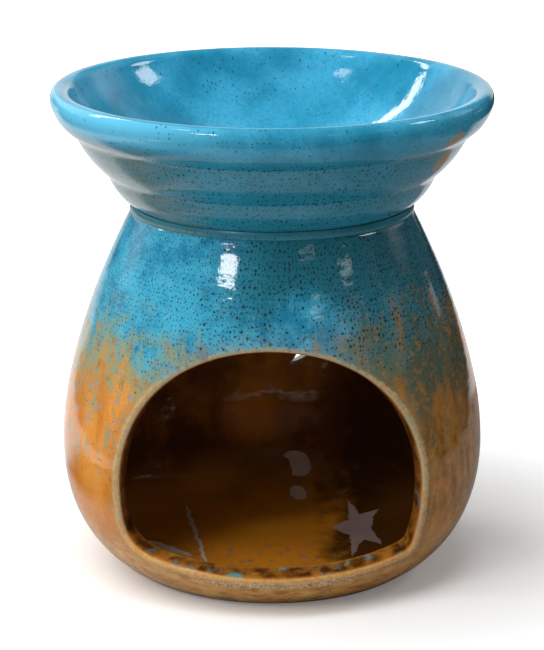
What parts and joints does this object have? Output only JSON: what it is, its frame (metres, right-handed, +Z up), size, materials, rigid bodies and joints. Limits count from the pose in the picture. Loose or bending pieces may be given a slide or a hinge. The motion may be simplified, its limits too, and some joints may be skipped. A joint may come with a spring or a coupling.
{
  "type": "essential oil burner",
  "caption": "Glazed stoneware oil burner: round belly pot with a wide arch for a tealight, moon and star vents behind, and a shallow oil bowl on its neck.",
  "frame": {"origin": "centre of the foot, on the surface that the burner stands on", "axes": "+Z up, the candle arch faces -Y, +X to the right as seen from the front"},
  "size_m": [0.11, 0.11, 0.1233],
  "materials": {
    "chamber_glaze": "glossy reactive glaze, turquoise at the shoulder breaking through olive to amber brown at the foot, dark amber inside",
    "bowl_glaze": "glossy turquoise glaze with fine dark iron speckles",
    "coil_glaze": "glossy turquoise glaze, thin over the bead"
  },
  "bodies": {
    "root": {"chamber": "chamber_glaze", "oil_bowl": "bowl_glaze", "luting_coil": "coil_glaze"}
  },
  "joints": []
}
